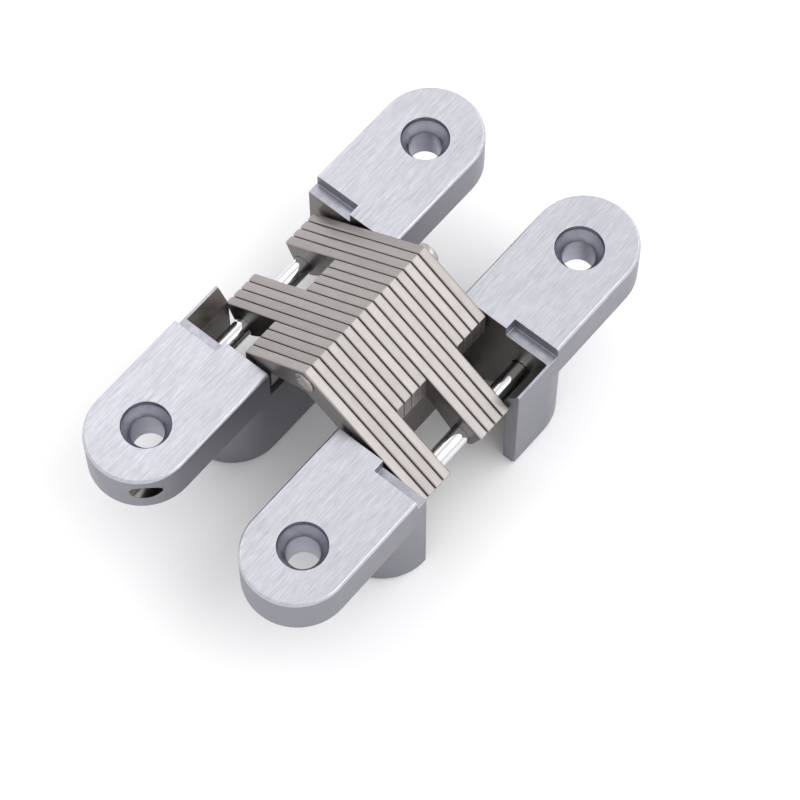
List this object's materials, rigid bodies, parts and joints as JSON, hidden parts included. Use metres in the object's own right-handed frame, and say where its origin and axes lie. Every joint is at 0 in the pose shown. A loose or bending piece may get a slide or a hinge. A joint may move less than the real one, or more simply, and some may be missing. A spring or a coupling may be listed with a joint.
{
  "type": "concealed invisible door hinge",
  "caption": "Concealed mortise door hinge lying open at 180 degrees: two slim round-ended leaves with deep cups, joined by crossing stamped links that turn on steel pins.",
  "frame": {"origin": "under the middle of the hinge, in the plane of the cup bottoms", "axes": "+Z out of the leaf faces, Y along the leaves, +X from leaf 1 to leaf 2, with the hinge lying open at 180 degrees"},
  "size_m": [0.053, 0.094, 0.0362],
  "materials": {
    "leaf_casting": "zinc die casting, satin chrome plated, faces brushed lengthwise",
    "link_steel": "stamped steel plate, satin nickel plated",
    "pin_steel": "ground steel pin, bright"
  },
  "bodies": {
    "leaf_1": {"leaf_1": "leaf_casting", "pivot_pin_1": "pin_steel"},
    "link_set_a": {"link_a_01": "link_steel", "link_a_02": "link_steel", "link_a_03": "link_steel", "link_a_04": "link_steel", "link_a_05": "link_steel", "link_a_06": "link_steel", "link_a_07": "link_steel", "link_a_08": "link_steel", "centre_pin": "pin_steel", "slide_pin_2": "pin_steel"},
    "link_set_b": {"link_b_01": "link_steel", "link_b_02": "link_steel", "link_b_03": "link_steel", "link_b_04": "link_steel", "link_b_05": "link_steel", "link_b_06": "link_steel", "link_b_07": "link_steel", "link_b_08": "link_steel", "slide_pin_1": "pin_steel"},
    "leaf_2": {"leaf_2": "leaf_casting", "pivot_pin_2": "pin_steel"}
  },
  "joints": [
    {"name": "leaf_1_pivot", "type": "hinge", "parent": "leaf_1", "child": "link_set_a", "pos_m": [-0.0104, 0, 0.023], "axis": [0, -1, 0], "range_deg": [0, 112]},
    {"name": "centre_pivot", "type": "hinge", "parent": "link_set_a", "child": "link_set_b", "pos_m": [0, 0, 0.0329], "axis": [0, -1, 0], "range_deg": [-44, 0]},
    {"name": "leaf_2_pivot", "type": "hinge", "parent": "link_set_b", "child": "leaf_2", "pos_m": [0.0104, 0, 0.023], "axis": [0, -1, 0], "range_deg": [0, 112]}
  ],
  "couplings": [
    {"joint": "centre_pivot", "follows": "leaf_1_pivot", "ratio": -0.39286},
    {"joint": "leaf_2_pivot", "follows": "leaf_1_pivot", "ratio": 1}
  ]
}
